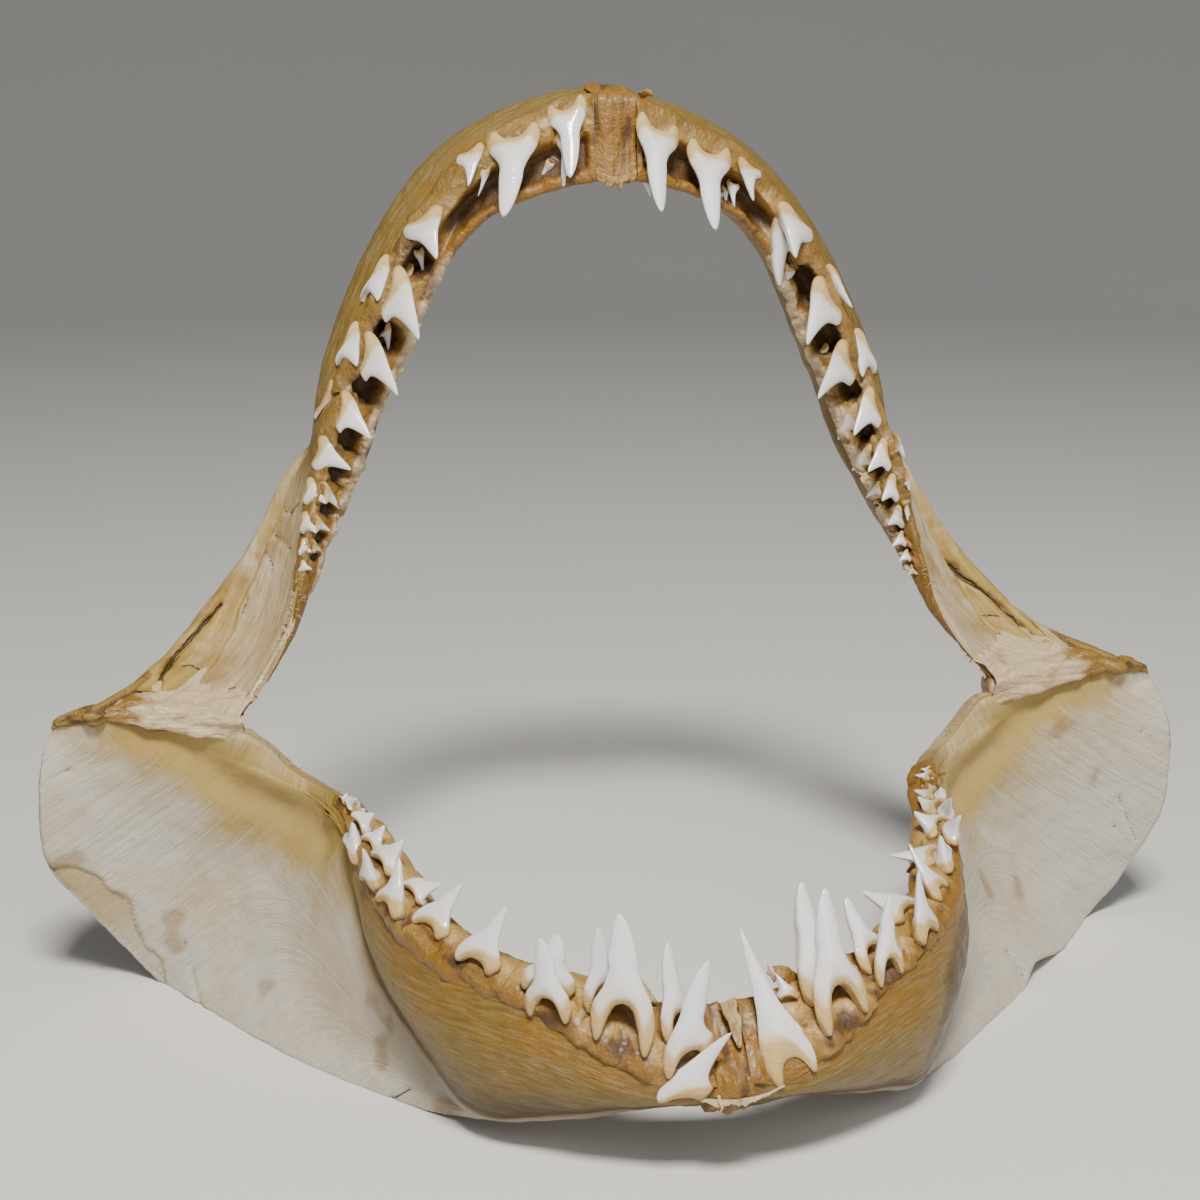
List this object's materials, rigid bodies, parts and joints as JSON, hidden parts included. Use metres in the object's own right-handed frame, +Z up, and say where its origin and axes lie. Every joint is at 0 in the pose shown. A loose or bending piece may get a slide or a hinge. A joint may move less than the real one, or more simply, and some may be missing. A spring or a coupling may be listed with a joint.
{
  "type": "shortfin mako shark jaw",
  "caption": "Dried, opened jaw of a shortfin mako shark with its teeth, standing on its lower jaw.",
  "frame": {"origin": "centre of the bounding box's footprint, on the surface that the jaw stands on", "axes": "+Z up, -Y out of the open mouth, +X to the animal's left"},
  "size_m": [0.3733, 0.2083, 0.2814],
  "materials": {
    "dried_cartilage": "dried, cream to ochre, with a dull sheen and fine fibres",
    "tooth_enamel": "glossy white enamel over cream roots",
    "dried_tissue": "dried brown gum and ligament, partly glossy"
  },
  "bodies": {
    "root": {"lower_jaw_left": "dried_cartilage", "lower_jaw_right": "dried_cartilage", "upper_jaw_left": "dried_cartilage", "upper_jaw_right": "dried_cartilage", "lower_symphysis_tissue": "dried_tissue", "upper_symphysis_tissue": "dried_tissue", "jaw_joint_left": "dried_tissue", "jaw_joint_right": "dried_tissue"}
  },
  "joints": []
}
